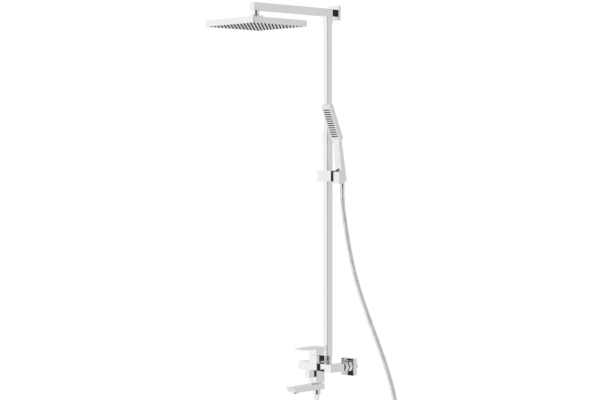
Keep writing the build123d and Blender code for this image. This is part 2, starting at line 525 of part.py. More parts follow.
BRACKET_SIZE, BRACKET_DEEP = 47.0, 10.0
BRACKET_Z = ARM_Z
PLATE_SIZE, PLATE_THICK = 40.0, 3.5
STEM_END_Y, BRACKET_STEM_RADIUS = -PLATE_THICK - 0.2, 7.0
PLATE_BOSS_RADIUS, PLATE_BOSS_FRONT_Y = 10.5, -8.3
BRACKET_HOLE_RADIUS, BRACKET_HOLE_PITCH = 2.6, 30.0
STEM_BLOCK_REAR_Y = -BRACKET_DEEP - 0.2

with BuildPart() as bracket_stem:
    bar_y(OUTER_X, ARM_HIGH, ARM_BACK_Y - CAP_THICK, STEM_BLOCK_REAR_Y, centre=(0, ARM_Z),
          corner=2.0)
    bar_y(TONGUE_X, TONGUE_Z, ARM_BACK_Y - TONGUE, ARM_BACK_Y - CAP_THICK, centre=(0, ARM_Z),
          corner=0.7)
    turned(rod(BRACKET_STEM_RADIUS, ARM_BACK_Y, STEM_END_Y), (0, 0, ARM_Z), (0, 1, 0))
save(bracket_stem, "bracket_stem")

with BuildPart() as bracket_plate:
    bar_y(PLATE_SIZE, PLATE_SIZE, -PLATE_THICK, 0, centre=(0, BRACKET_Z), corner=2.0)
    turned(tube(PLATE_BOSS_RADIUS, BRACKET_STEM_RADIUS + 0.05, PLATE_BOSS_FRONT_Y, -PLATE_THICK),
           (0, 0, BRACKET_Z), (0, 1, 0))
    for side in (-1, 1):
        turned(rod(BRACKET_HOLE_RADIUS, -PLATE_THICK, 0),
               (0, 0, BRACKET_Z + side * BRACKET_HOLE_PITCH / 2), (0, 1, 0),
               mode=Mode.SUBTRACT)
    turned(rod(1.55, BRACKET_STEM_RADIUS, PLATE_BOSS_RADIUS), (0, -6, BRACKET_Z), (0, 0, -1),
           mode=Mode.SUBTRACT)
save(bracket_plate, "bracket_plate")

with BuildPart() as bracket_screw:
    turned(rod(1.5, BRACKET_STEM_RADIUS + 0.05, PLATE_BOSS_RADIUS), (0, -6, BRACKET_Z),
           (0, 0, -1))
save(bracket_screw, "bracket_screw")

with BuildPart() as bracket_cover:
    bar_y(BRACKET_SIZE, BRACKET_SIZE, -BRACKET_DEEP, 0, centre=(0, BRACKET_Z), corner=EDGE)
    bar_y(BRACKET_SIZE - 2 * COVER_WALL, BRACKET_SIZE - 2 * COVER_WALL,
          COVER_WALL - BRACKET_DEEP, 0, centre=(0, BRACKET_Z), mode=Mode.SUBTRACT)
    turned(rod(BRACKET_STEM_RADIUS + 0.3, -BRACKET_DEEP, 0), (0, 0, BRACKET_Z), (0, 1, 0),
           mode=Mode.SUBTRACT)
save(bracket_cover, "bracket_cover")

# ---- rain head on its ball joint ---------------------------------------------------------
NECK_RADIUS, NECK_END_RADIUS = 10.0, 7.0
NECK_LOW_Z, NECK_FULL_Z = BALL_Z + 13.3, BALL_Z + 14.6
BALL_STEM_RADIUS = 5.5
SHELL_OUTER = 12.95
CUP_RADIUS = SHELL_OUTER + FIT
NUT_TOP_Z, NUT_OUTER_RADIUS = BALL_Z + 11, 22.4
SOCKET_RADIUS, SOCKET_TOP_Z, SOCKET_LOW_Z = 18.0, BALL_Z + 1, BALL_Z - 12.5
NUT_MOUTH_RADIUS = 9.0
HEAD_WALL = 1.6

with BuildPart() as head_nipple:
    with Locations((0, HEAD_Y, BALL_Z)):
        Sphere(BALL_RADIUS)
    turned([(0, 0), (BALL_STEM_RADIUS, 0), (BALL_STEM_RADIUS, NECK_LOW_Z - BALL_Z),
            (NECK_END_RADIUS, NECK_LOW_Z - BALL_Z), (NECK_RADIUS, NECK_FULL_Z - BALL_Z),
            (NECK_RADIUS, ARM_LOW_Z - BALL_Z),
            (NIPPLE_THREAD_RADIUS, ARM_LOW_Z - BALL_Z),
            (NIPPLE_THREAD_RADIUS, ARM_LOW_Z + 5 - BALL_Z), (0, ARM_LOW_Z + 5 - BALL_Z)],
           (0, HEAD_Y, BALL_Z))
    turned(rod(3.0, -BALL_RADIUS - 1, ARM_LOW_Z + 6 - BALL_Z), (0, HEAD_Y, BALL_Z),
           mode=Mode.SUBTRACT)
save(head_nipple, "head_nipple")


def ball_shell(from_angle, to_angle):
    """A spherical ring between the ball and its cup."""
    first, last = radians(from_angle), radians(to_angle)
    middle = (first + last) / 2
    inner = BALL_RADIUS + FIT

    def on(radius, angle):
        return (radius * sin(angle), radius * cos(angle))

    with BuildSketch(Plane(origin=(0, HEAD_Y, BALL_Z), x_dir=(1, 0, 0),
                           z_dir=(0, -1, 0))) as profile:
        with BuildLine():
            ThreePointArc(on(SHELL_OUTER, first), on(SHELL_OUTER, middle), on(SHELL_OUTER, last))
            Line(on(SHELL_OUTER, last), on(inner, last))
            ThreePointArc(on(inner, last), on(inner, middle), on(inner, first))
            Line(on(inner, first), on(SHELL_OUTER, first))
        make_face()
    revolve(profile.sketch, axis=Axis((0, HEAD_Y, BALL_Z), (0, 0, 1)))


with BuildPart() as ball_seal:
    ball_shell(116, 148)
save(ball_seal, "ball_seal")

with BuildPart() as ball_ring:
    ball_shell(62, 94)
save(ball_ring, "ball_ring")

with BuildPart() as socket_nut:
    turned([(0, HEAD_TOP_Z + 0.3), (NUT_OUTER_RADIUS, HEAD_TOP_Z + 0.3),
            (NUT_OUTER_RADIUS, NUT_TOP_Z - EDGE), (NUT_OUTER_RADIUS - EDGE, NUT_TOP_Z),
            (0, NUT_TOP_Z)], (0, HEAD_Y, 0))
    turned(rod(SOCKET_RADIUS + 0.1, HEAD_TOP_Z, SOCKET_TOP_Z + 0.2), (0, HEAD_Y, 0),
           mode=Mode.SUBTRACT)
    turned(rod(NUT_MOUTH_RADIUS, BALL_Z, NUT_TOP_Z), (0, HEAD_Y, 0), mode=Mode.SUBTRACT)
    with Locations((0, HEAD_Y, BALL_Z)):
        Sphere(CUP_RADIUS, mode=Mode.SUBTRACT)
save(socket_nut, "socket_nut")

with BuildPart() as head_shell:
    upright(HEAD_SIZE, HEAD_SIZE, HEAD_LOW_Z, HEAD_TOP_Z, centre=(0, HEAD_Y))
    fillet(head_shell.edges().filter_by(Axis.Z), 2.5)
    fillet(head_shell.faces().sort_by(Axis.Z)[-1].edges(), 1.2)
    upright(HEAD_SIZE - 2 * HEAD_WALL, HEAD_SIZE - 2 * HEAD_WALL, HEAD_LOW_Z,
            HEAD_TOP_Z - HEAD_WALL, centre=(0, HEAD_Y), corner=1.0, mode=Mode.SUBTRACT)
    turned(rod(SOCKET_RADIUS, SOCKET_LOW_Z, SOCKET_TOP_Z), (0, HEAD_Y, 0))
    with Locations((0, HEAD_Y, BALL_Z)):
        Sphere(CUP_RADIUS, mode=Mode.SUBTRACT)
save(head_shell, "head_shell")

NOZZLES_ACROSS, NOZZLE_PITCH = 14, 15.0
NOZZLE_RADIUS, NOZZLE_HOLE_RADIUS = 2.4, 2.6
NOZZLE_TIP_Z = 1078.5
PLATE_LOW_Z, PLATE_TOP_Z = 1080.4, 1082.4
MAT_TOP_Z = 1084.0
PLATE_GAP = 0.2
PLATE_SIDE = HEAD_SIZE - 2 * HEAD_WALL - 2 * PLATE_GAP

with BuildPart() as head_faceplate:
    upright(PLATE_SIDE, PLATE_SIDE, PLATE_LOW_Z, PLATE_TOP_Z, centre=(0, HEAD_Y), corner=1.0)
    with BuildSketch(Plane.XY.offset(PLATE_LOW_Z)) as holes:
        with Locations((0, HEAD_Y)):
            with GridLocations(NOZZLE_PITCH, NOZZLE_PITCH, NOZZLES_ACROSS, NOZZLES_ACROSS):
                Circle(NOZZLE_HOLE_RADIUS)
    extrude(holes.sketch, amount=PLATE_TOP_Z - PLATE_LOW_Z, mode=Mode.SUBTRACT)
save(head_faceplate, "head_faceplate")

with BuildPart() as nozzle_mat:
    upright(PLATE_SIDE - 2, PLATE_SIDE - 2, PLATE_TOP_Z, MAT_TOP_Z, centre=(0, HEAD_Y))
    with BuildSketch(Plane.XY.offset(NOZZLE_TIP_Z)) as tips:
        with Locations((0, HEAD_Y)):
            with GridLocations(NOZZLE_PITCH, NOZZLE_PITCH, NOZZLES_ACROSS, NOZZLES_ACROSS):
                Circle(NOZZLE_RADIUS)
    extrude(tips.sketch, amount=PLATE_TOP_Z - NOZZLE_TIP_Z)
save(nozzle_mat, "nozzle_mat")

# ---- slider with its lock button ---------------------------------------------------------
SLIDER_LEFT, SLIDER_RIGHT = -32.0, 31.0
SLIDER_FRONT_Y, SLIDER_REAR_Y = -53.0, -19.0
SLIDER_Z = (SLIDER_LOW_Z + SLIDER_TOP_Z) / 2
LINER_WALL = 1.2
LINER_X, LINER_Y = OUTER_X + 2 * TUBE_GAP + 2 * LINER_WALL, OUTER_Y + 2 * TUBE_GAP + 2 * LINER_WALL
BUTTON_SIZE, BUTTON_LEFT, BUTTON_RIGHT = 26.0, -35.0, -23.0
POCKET_RIGHT = -19.0
HOLDER_LEFT = SLIDER_RIGHT + 0.3
PIVOT_Y, PIVOT_SCREW_RADIUS = -38.5, 2.5
PIVOT_HEIGHT = 612.0
SCREW_LEFT, SCREW_RIGHT = 19.0, 45.0
SCREW_HEAD_RADIUS, SCREW_HEAD_LONG = 4.2, 3.0

with BuildPart() as slider_body:
    bar_x(SLIDER_REAR_Y - SLIDER_FRONT_Y, SLIDER_TOP_Z - SLIDER_LOW_Z, SLIDER_LEFT, SLIDER_RIGHT,
          centre=((SLIDER_FRONT_Y + SLIDER_REAR_Y) / 2, SLIDER_Z), corner=EDGE)
    upright(LINER_X + 0.1, LINER_Y + 0.1, SLIDER_LOW_Z, SLIDER_TOP_Z, centre=(0, COLUMN_Y),
            corner=1.5, mode=Mode.SUBTRACT)
    bar_x(BUTTON_SIZE + 0.6, BUTTON_SIZE + 0.6, SLIDER_LEFT, POCKET_RIGHT,
          centre=(COLUMN_Y, SLIDER_Z), corner=1.3, mode=Mode.SUBTRACT)
    turned([(0, 0), (SCREW_HEAD_RADIUS + 0.2, 0), (SCREW_HEAD_RADIUS + 0.2, SCREW_HEAD_LONG + 5),
            (PIVOT_SCREW_RADIUS + 0.05, SCREW_HEAD_LONG + 5), (PIVOT_SCREW_RADIUS + 0.05, 30),
            (0, 30)], (SCREW_LEFT - 5, PIVOT_Y, PIVOT_HEIGHT), (1, 0, 0), mode=Mode.SUBTRACT)
save(slider_body, "slider_body")

with BuildPart() as slider_liner:
    upright(LINER_X, LINER_Y, SLIDER_LOW_Z + 0.5, SLIDER_TOP_Z - 0.5, centre=(0, COLUMN_Y),
            corner=1.4)
    upright(OUTER_X + 2 * TUBE_GAP, OUTER_Y + 2 * TUBE_GAP, SLIDER_LOW_Z, SLIDER_TOP_Z,
            centre=(0, COLUMN_Y), corner=1.2, mode=Mode.SUBTRACT)
save(slider_liner, "slider_liner")

with BuildPart() as holder_screw:
    turned([(0, 0), (SCREW_HEAD_RADIUS, 0), (SCREW_HEAD_RADIUS, SCREW_HEAD_LONG),
            (PIVOT_SCREW_RADIUS, SCREW_HEAD_LONG), (PIVOT_SCREW_RADIUS, SCREW_RIGHT - SCREW_LEFT),
            (0, SCREW_RIGHT - SCREW_LEFT)], (SCREW_LEFT, PIVOT_Y, PIVOT_HEIGHT), (1, 0, 0))
save(holder_screw, "holder_screw")

with BuildPart() as lock_button:
    bar_x(BUTTON_SIZE, BUTTON_SIZE, BUTTON_LEFT, BUTTON_RIGHT, centre=(COLUMN_Y, SLIDER_Z),
          corner=1.2)
save(lock_button, "lock_button")

SPRING_RADIUS, SPRING_WIRE, SPRING_TURNS = 6.0, 0.4, 3
with BuildPart() as button_spring:
    reach = POCKET_RIGHT - BUTTON_RIGHT - 2 * SPRING_WIRE - 0.2
    with BuildLine() as coil:
        Helix(pitch=reach / SPRING_TURNS, height=reach, radius=SPRING_RADIUS,
              center=(BUTTON_RIGHT + SPRING_WIRE + 0.1, COLUMN_Y, SLIDER_Z), direction=(1, 0, 0))
    with BuildSketch(Plane(origin=coil.line @ 0, z_dir=coil.line % 0)):
        Circle(SPRING_WIRE)
    sweep(path=coil.line, is_frenet=True)
save(button_spring, "button_spring")

# ---- handset holder ----------------------------------------------------------------------
HANDLE_WIDE = 26.0
HOLDER_RIGHT = 63.0
HOLDER_FRONT_Y, HOLDER_REAR_Y = -47.0, -24.0
HOLDER_LOW_Z, HOLDER_TOP_Z = 590.0, 628.0
SLOT_GAP = 0.4
NUT_ROOM, NUT_TALL, LIFT_ROOM = 8.6, 22.0, 70.0
HANDLE_FRONT_FOOT_Y, HANDLE_FRONT_KNEE = -26.0, (-37.0, 650.0)
HANDLE_REAR_FOOT_Y, HANDLE_REAR_TOP = -9.0, (-31.0, 720.0)

with BuildPart() as handset_holder:
    slot_lean = (HANDLE_FRONT_KNEE[0] - HANDLE_FRONT_FOOT_Y) / (HANDLE_FRONT_KNEE[1] - HANDSET_FOOT_Z)
    slot_floor_z = HANDSET_FOOT_Z - SLOT_GAP
    slot_foot_y = HANDLE_FRONT_FOOT_Y - SLOT_GAP
    bar_x(HOLDER_REAR_Y - HOLDER_FRONT_Y, HOLDER_TOP_Z - HOLDER_LOW_Z, HOLDER_LEFT, HOLDER_RIGHT,
          centre=((HOLDER_FRONT_Y + HOLDER_REAR_Y) / 2, (HOLDER_LOW_Z + HOLDER_TOP_Z) / 2),
          corner=EDGE)
    side_prism([(slot_foot_y, slot_floor_z), (0, slot_floor_z), (0, 640),
                (slot_foot_y + slot_lean * (640 - slot_floor_z), 640)],
               HANDSET_X - HANDLE_WIDE / 2 - SLOT_GAP, HANDSET_X + HANDLE_WIDE / 2 + SLOT_GAP,
               mode=Mode.SUBTRACT)
    turned(rod(NUT_ROOM, HOLDER_LOW_Z - 1, HANDSET_FOOT_Z), (HANDSET_X, HOSE_ROUTE[0][1], 0),
           mode=Mode.SUBTRACT)
    with BuildSketch(Plane.XY.offset(HANDSET_FOOT_Z - NUT_TALL)) as nut_way:
        with Locations((HANDSET_X, HOSE_ROUTE[0][1])):
            Circle(NUT_ROOM)
    extrude(nut_way.sketch, amount=LIFT_ROOM, dir=Vector(0, slot_lean, 1).normalized(),
            mode=Mode.SUBTRACT)
    turned(rod(PIVOT_SCREW_RADIUS + FIT, HOLDER_LEFT, SCREW_RIGHT + 0.5),
           (0, PIVOT_Y, PIVOT_HEIGHT), (1, 0, 0), mode=Mode.SUBTRACT)
save(handset_holder, "handset_holder")

# ---- handset -----------------------------------------------------------------------------
PLATE_WIDE, PLATE_LONG, HEAD_THICK = 38.0, 120.0, 16.0
FACE_FOOT, FACE_TOP = (-46.0, 728.0), (-94.0, 838.0)
FACE_MIDDLE = ((FACE_FOOT[0] + FACE_TOP[0]) / 2, (FACE_FOOT[1] + FACE_TOP[1]) / 2)
FACE_UP = Vector(0, FACE_TOP[0] - FACE_FOOT[0], FACE_TOP[1] - FACE_FOOT[1]).normalized()
FACE = Plane(origin=(HANDSET_X, *FACE_MIDDLE), x_dir=(1, 0, 0),
             z_dir=Vector(1, 0, 0).cross(FACE_UP))
RECESS_WIDE, RECESS_LONG, RECESS_DEEP = 32.0, 104.0, 9.0
SPRAY_THICK = 2.0
TAIL_R, TAIL_LONG = 5.6, 8.0

with BuildPart() as handset_shell:
    with BuildSketch(FACE):
        Rectangle(PLATE_WIDE, PLATE_LONG)
    extrude(amount=-HEAD_THICK)
    side_prism([FACE_FOOT, (-41.5, 690), HANDLE_FRONT_KNEE, (HANDLE_FRONT_FOOT_Y, HANDSET_FOOT_Z),
                (HANDLE_REAR_FOOT_Y, HANDSET_FOOT_Z), HANDLE_REAR_TOP, (-34, 741), (-47.5, 741)],
               HANDSET_X - HANDLE_WIDE / 2, HANDSET_X + HANDLE_WIDE / 2)
    with BuildSketch(FACE):
        Rectangle(RECESS_WIDE, RECESS_LONG)
    extrude(amount=-RECESS_DEEP, mode=Mode.SUBTRACT)
    turned(rod(TAIL_R, -TAIL_LONG, 1), (HANDSET_X, HOSE_ROUTE[0][1], HANDSET_FOOT_Z))
    turned(rod(4.0, -TAIL_LONG - 1, 28), (HANDSET_X, HOSE_ROUTE[0][1], HANDSET_FOOT_Z),
           mode=Mode.SUBTRACT)
save(handset_shell, "handset_shell")

SPRAY_ROWS, SPRAY_COLUMNS = 13, 4
SPRAY_PITCH_UP, SPRAY_PITCH_ACROSS = 7.6, 7.4

with BuildPart() as spray_plate:
    with BuildSketch(FACE):
        Rectangle(RECESS_WIDE - 0.4, RECESS_LONG - 0.4)
        with GridLocations(SPRAY_PITCH_ACROSS, SPRAY_PITCH_UP, SPRAY_COLUMNS, SPRAY_ROWS):
            Circle(1.45, mode=Mode.SUBTRACT)
    extrude(amount=-SPRAY_THICK)
save(spray_plate, "spray_plate")

with BuildPart() as spray_mat:
    with BuildSketch(FACE.offset(-SPRAY_THICK)):
        Rectangle(RECESS_WIDE - 1, RECESS_LONG - 1)
    extrude(amount=-1.5)
    with BuildSketch(FACE.offset(-SPRAY_THICK)):
        with GridLocations(SPRAY_PITCH_ACROSS, SPRAY_PITCH_UP, SPRAY_COLUMNS, SPRAY_ROWS):
            Circle(1.25)
    extrude(amount=SPRAY_THICK + 0.9)
save(spray_mat, "spray_mat")

# ---- hose with its two nuts --------------------------------------------------------------
NUT_R, HOSE_R = 7.6, HOSE_DIAMETER / 2
MIXER_NUT_RADIUS, SLEEVE_RADIUS = 11.9, 8.4

with BuildPart() as hose_nut_handset:
    turned([(TAIL_R + 0.05, HANDSET_FOOT_Z - 0.2), (TAIL_R + 0.05, 587), (4.0, 587),
            (4.0, HOSE_ROUTE[0][2]), (HOSE_R, HOSE_ROUTE[0][2]), (NUT_R, 582),
            (NUT_R, HANDSET_FOOT_Z - 0.2)], (HANDSET_X, HOSE_ROUTE[0][1], 0))
save(hose_nut_handset, "hose_nut_handset")

with BuildPart() as hose_nut_mixer:
    turned([(G_HALF_RADIUS + 0.05, -75), (G_HALF_RADIUS + 0.05, -86), (4.5, -86),
            (4.5, HOSE_ROUTE[-1][2]), (HOSE_R, HOSE_ROUTE[-1][2]), (SLEEVE_RADIUS, -91),
            (MIXER_NUT_RADIUS, -87.5), (MIXER_NUT_RADIUS, -75)], (0, MIXER_Y, 0))
save(hose_nut_mixer, "hose_nut_mixer")

with BuildPart() as hose_washer:
    turned(tube(G_HALF_RADIUS - 0.2, STEM_BORE, -86, STEM_LOW_Z), (0, MIXER_Y, 0))
save(hose_washer, "hose_washer")


def arc_radii(route):
    """One radius per corner: 0.45 of the shorter run over the tangent of half the turn."""
    points = [Vector(*p) for p in route]
    radii = []
    for before, corner, after in zip(points, points[1:], points[2:]):
        run_in, run_out = corner - before, after - corner
        turn = run_in.get_angle(run_out)
        radii.append(0.45 * min(run_in.length, run_out.length) / tan(radians(turn / 2)))
    return radii


radii = arc_radii(HOSE_ROUTE)
with BuildPart() as shower_hose:
    with BuildLine() as route:
        FilletPolyline(*HOSE_ROUTE, radius=radii)
    with BuildSketch(Plane(origin=route.line @ 0, z_dir=route.line % 0)):
        Circle(HOSE_R)
    sweep(path=route.line)
save(shower_hose, "shower_hose")

section = pi * HOSE_R ** 2
hose_length = route.wire().length
runs = [(Vector(*b) - Vector(*a)).length for a, b in zip(HOSE_ROUTE, HOSE_ROUTE[1:])]
print("hose length", round(hose_length, 1), "runs", [round(r) for r in runs])
print("hose radii", [round(r) for r in radii])
print("hose volume / section x length",
      round(shower_hose.part.volume / (section * hose_length), 4))
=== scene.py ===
"""Looks of the rainfall shower column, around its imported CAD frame.

Metres. The wall plane is Y = 0, the object stands towards -Y, and +X is to the right of a person
who faces the wall. The origin is midway between the two wall inlets.
"""
import json
import math

import bmesh
import bpy
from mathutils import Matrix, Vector


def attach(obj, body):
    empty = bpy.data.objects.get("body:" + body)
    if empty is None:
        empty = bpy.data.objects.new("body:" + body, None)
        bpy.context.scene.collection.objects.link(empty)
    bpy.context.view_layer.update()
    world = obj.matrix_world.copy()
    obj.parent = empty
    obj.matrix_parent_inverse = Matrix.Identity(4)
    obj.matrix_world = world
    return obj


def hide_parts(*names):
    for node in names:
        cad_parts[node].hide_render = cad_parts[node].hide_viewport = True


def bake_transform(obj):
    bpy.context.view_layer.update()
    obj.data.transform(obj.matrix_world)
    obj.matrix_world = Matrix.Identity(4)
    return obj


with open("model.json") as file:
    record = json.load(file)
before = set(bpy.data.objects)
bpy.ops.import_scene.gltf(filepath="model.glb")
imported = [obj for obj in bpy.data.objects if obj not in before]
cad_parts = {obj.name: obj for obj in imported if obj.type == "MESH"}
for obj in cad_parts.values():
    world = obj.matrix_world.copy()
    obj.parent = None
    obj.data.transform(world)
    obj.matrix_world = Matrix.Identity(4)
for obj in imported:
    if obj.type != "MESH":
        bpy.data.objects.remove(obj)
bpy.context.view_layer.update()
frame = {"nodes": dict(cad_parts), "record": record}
MM = 0.001

# ---- camera ------------------------------------------------------------------------------
CAMERA_PLACE = (3.799, -3.804, 0.649)
CAMERA_TURN = 46.2
CAMERA_LENS = 99.0
CAMERA_SENSOR = 36.0
CAMERA_SHIFT = -0.058


def make_camera():
    """A level long lens from the front right, at the height of the middle of the riser."""
    camera = bpy.data.objects.new("camera", bpy.data.cameras.new("camera"))
    camera.location = CAMERA_PLACE
    camera.rotation_euler = (math.radians(90), 0, math.radians(CAMERA_TURN))
    camera.data.lens = CAMERA_LENS
    camera.data.sensor_width = CAMERA_SENSOR
    camera.data.shift_y = CAMERA_SHIFT
    bpy.context.scene.collection.objects.link(camera)
    bpy.context.scene.camera = camera


# ---- materials ---------------------------------------------------------------------------
class Shader:
    """A Principled material, with short calls for what varies over its surface.

    Patterns are in object coordinates, which are the row frame's metres on every node.
    """

    def __init__(self, name, metallic=0.0, roughness=0.5, color=(0.8, 0.8, 0.8), **sockets):
        self.material = bpy.data.materials.new(name)
        self.material.use_nodes = True
        self.tree = self.material.node_tree
        self.bsdf = self.tree.nodes["Principled BSDF"]
        self.bsdf.inputs["Metallic"].default_value = metallic
        self.bsdf.inputs["Roughness"].default_value = roughness
        self.bsdf.inputs["Base Color"].default_value = (*color, 1)
        for socket, value in sockets.items():
            self.bsdf.inputs[socket.replace("_", " ")].default_value = value
        self.place = self.tree.nodes.new("ShaderNodeTexCoord").outputs["Object"]

    def link(self, output, node, socket):
        self.tree.links.new(output, node.inputs[socket])

    def scaled(self, stretch):
        mapping = self.tree.nodes.new("ShaderNodeMapping")
        mapping.inputs["Scale"].default_value = stretch
        self.link(self.place, mapping, "Vector")
        return mapping.outputs["Vector"]

    def noise(self, grain, detail=3.0, stretch=(1, 1, 1)):
        """Cloudy values about grain metres across, drawn out along the axes with a low stretch."""
        node = self.tree.nodes.new("ShaderNodeTexNoise")
        node.inputs["Scale"].default_value = 1 / grain
        node.inputs["Detail"].default_value = detail
        self.link(self.scaled(stretch), node, "Vector")
        return node.outputs["Fac"]

    def ranged(self, values, low, high, start=0.3, end=0.7):
        node = self.tree.nodes.new("ShaderNodeMapRange")
        node.inputs["From Min"].default_value = start
        node.inputs["From Max"].default_value = end
        node.inputs["To Min"].default_value = low
        node.inputs["To Max"].default_value = high
        self.link(values, node, "Value")
        return node.outputs["Result"]

    def tint(self, values, dark, light):
        node = self.tree.nodes.new("ShaderNodeMix")
        node.data_type = "RGBA"
        node.inputs["A"].default_value = (*dark, 1)
        node.inputs["B"].default_value = (*light, 1)
        self.link(self.ranged(values, 0, 1), node, "Factor")
        self.link(node.outputs["Result"], self.bsdf, "Base Color")

    def rough(self, values, low, high):
        self.link(self.ranged(values, low, high), self.bsdf, "Roughness")

    def bump(self, values, height, strength=1.0):
        node = self.tree.nodes.new("ShaderNodeBump")
        node.inputs["Strength"].default_value = strength
        node.inputs["Distance"].default_value = height
        self.link(values, node, "Height")
        previous = self.bsdf.inputs["Normal"]
        if previous.links:
            self.link(previous.links[0].from_socket, node, "Normal")
        self.link(node.outputs["Normal"], self.bsdf, "Normal")


def polished(name, light, dark, waviness):
    """Bright chrome plate: faint smears, dust-fine speckle and the slow wave of buffed metal."""
    shader = Shader(name, metallic=1.0, roughness=0.05)
    shader.tint(shader.noise(grain=0.09, detail=4), dark, light)
    shader.rough(shader.noise(grain=0.02, detail=6), low=0.03, high=0.09)
    shader.bump(shader.noise(grain=0.045, detail=1), height=waviness)
    return shader.material


def chrome():
    return polished("chrome", light=(0.90, 0.905, 0.91), dark=(0.86, 0.865, 0.875),
                    waviness=0.00004)


def plated_plastic():
    """Moulded plastic under chrome: a little softer and wavier than plated brass."""
    return polished("plated_plastic", light=(0.89, 0.895, 0.90), dark=(0.84, 0.845, 0.855),
                    waviness=0.00007)


def face_metal():
    """Satin plate behind the nozzles, brushed from side to side."""
    shader = Shader("face_metal", metallic=1.0, roughness=0.25)
    brushed = shader.noise(grain=0.004, detail=5, stretch=(0.05, 1, 1))
    shader.tint(brushed, dark=(0.78, 0.785, 0.80), light=(0.86, 0.865, 0.87))
    shader.rough(brushed, low=0.16, high=0.30)
    scratches = shader.noise(grain=0.0012, detail=3, stretch=(0.05, 1, 1))
    shader.bump(scratches, height=0.00002, strength=0.5)
    return shader.material


def hose_skin():
    """Bright wound hose, duller where hands and water have dried on it."""
    shader = Shader("hose_skin", metallic=1.0, roughness=0.14)
    shader.tint(shader.noise(grain=0.03, detail=4), dark=(0.70, 0.71, 0.73), light=(0.86, 0.865, 0.875))
    shader.rough(shader.noise(grain=0.012, detail=5), low=0.10, high=0.24)
    return shader.material


def machined(name, dark, light):
    """Turned metal with fine tool lines round it."""
    shader = Shader(name, metallic=1.0, roughness=0.3)
    lines = shader.noise(grain=0.0015, detail=4, stretch=(0.2, 0.2, 3))
    shader.tint(shader.noise(grain=0.02, detail=4), dark, light)
    shader.rough(lines, low=0.2, high=0.4)
    shader.bump(lines, height=0.00002, strength=0.6)
    return shader.material


def brass():
    return machined("brass", dark=(0.62, 0.46, 0.22), light=(0.80, 0.62, 0.33))


def steel():
    return machined("steel", dark=(0.52, 0.53, 0.55), light=(0.68, 0.69, 0.70))


def moulded(name, dark, light, low, high, grain):
    """Moulded rubber or plastic: a slightly mottled tone and a fine eggshell grain."""
    shader = Shader(name, roughness=0.5, Specular_IOR_Level=0.45)
    shader.tint(shader.noise(grain=0.015, detail=4), dark, light)
    shader.rough(shader.noise(grain=0.006, detail=4), low, high)
    shader.bump(shader.noise(grain, detail=2), height=0.00003, strength=0.6)
    return shader.material


def black_rubber():
    return moulded("black_rubber", dark=(0.010, 0.010, 0.011), light=(0.022, 0.022, 0.024),
                   low=0.5, high=0.7, grain=0.0006)


def silicone():
    return moulded("silicone", dark=(0.030, 0.031, 0.033), light=(0.055, 0.057, 0.060),
                   low=0.4, high=0.6, grain=0.0008)


def inner_plastic():
    return moulded("inner_plastic", dark=(0.70, 0.70, 0.67), light=(0.80, 0.80, 0.77),
                   low=0.35, high=0.5, grain=0.001)


def grey_plastic():
    return moulded("grey_plastic", dark=(0.06, 0.062, 0.065), light=(0.10, 0.102, 0.106),
                   low=0.35, high=0.55, grain=0.001)


MATERIALS = {make.__name__: make() for make in (chrome, plated_plastic, face_metal, hose_skin, brass,
                                               steel, black_rubber, silicone, inner_plastic,
                                               grey_plastic)}


def paint(obj, name):
    obj.data.materials.clear()
    obj.data.materials.append(MATERIALS[name])


def paint_frame():
    """Every CAD node takes the material of its slot in the record."""
    for row in frame["record"]["subparts"]:
        paint(frame["nodes"][row["node"]], row["material_slot"])


# ---- hose --------------------------------------------------------------------------------
HOSE_DIAMETER = 0.014
HOSE_ROUTE = [(47, -16.5, 575), (47, -16.5, 530), (63, -20, 466), (88, -27, 380),
              (123, -34, 290), (168, -41, 205), (220, -48, 120), (273, -54, 30),
              (315, -58, -62), (336, -62, -158), (330, -67, -252), (292, -72, -335),
              (228, -77, -388), (152, -80, -400), (84, -83, -370), (32, -85, -308),
              (5, -86, -232), (0, -86, -172), (0, -86, -118)]
HOSE_PITCH = 0.0042                             # from one turn of the winding to the next
HOSE_GROOVE = 0.0007
HOSE_SIDES = 20
STEPS_PER_TURN = 7
CUTS = (0.105, 0.235)                           # where the upper two of its three lengths end
LOOP_STILL = Vector((0.000, -0.086, -0.118))    # the mixer's end of the hose never moves
LOOP_RIGHT = Vector((0.330, -0.067, -0.252))    # nor does the loop below its right-hand side
SPLINE_ORDER, SPLINE_STEPS = 3, 24
ROUNDING = 1e-6


def hose_line():
    """The middle of the hose, read from the smooth spline through its route's points."""
    curve = bpy.data.curves.new("hose_route", "CURVE")
    curve.dimensions = "3D"
    curve.resolution_u = SPLINE_STEPS
    spline = curve.splines.new("NURBS")
    spline.points.add(len(HOSE_ROUTE) - 1)
    for point, place in zip(spline.points, HOSE_ROUTE):
        point.co = (*(v * MM for v in place), 1)
    spline.order_u = SPLINE_ORDER
    spline.use_endpoint_u = True
    holder = bpy.data.objects.new("hose_route", curve)
    mesh = bpy.data.meshes.new_from_object(holder)
    line = [v.co.copy() for v in mesh.vertices]
    bpy.data.meshes.remove(mesh)
    bpy.data.curves.remove(curve)
    return line


def evenly(line, step):
    """Points step apart along a line, with the distance of each from its start."""
    reached, spots = 0.0, [(0.0, line[0])]
    for a, b in zip(line, line[1:]):
        long = (b - a).length
        while spots[-1][0] + step <= reached + long:
            at = spots[-1][0] + step
            spots.append((at, a.lerp(b, (at - reached) / long)))
        reached += long
    spots.append((reached, line[-1]))
    return spots


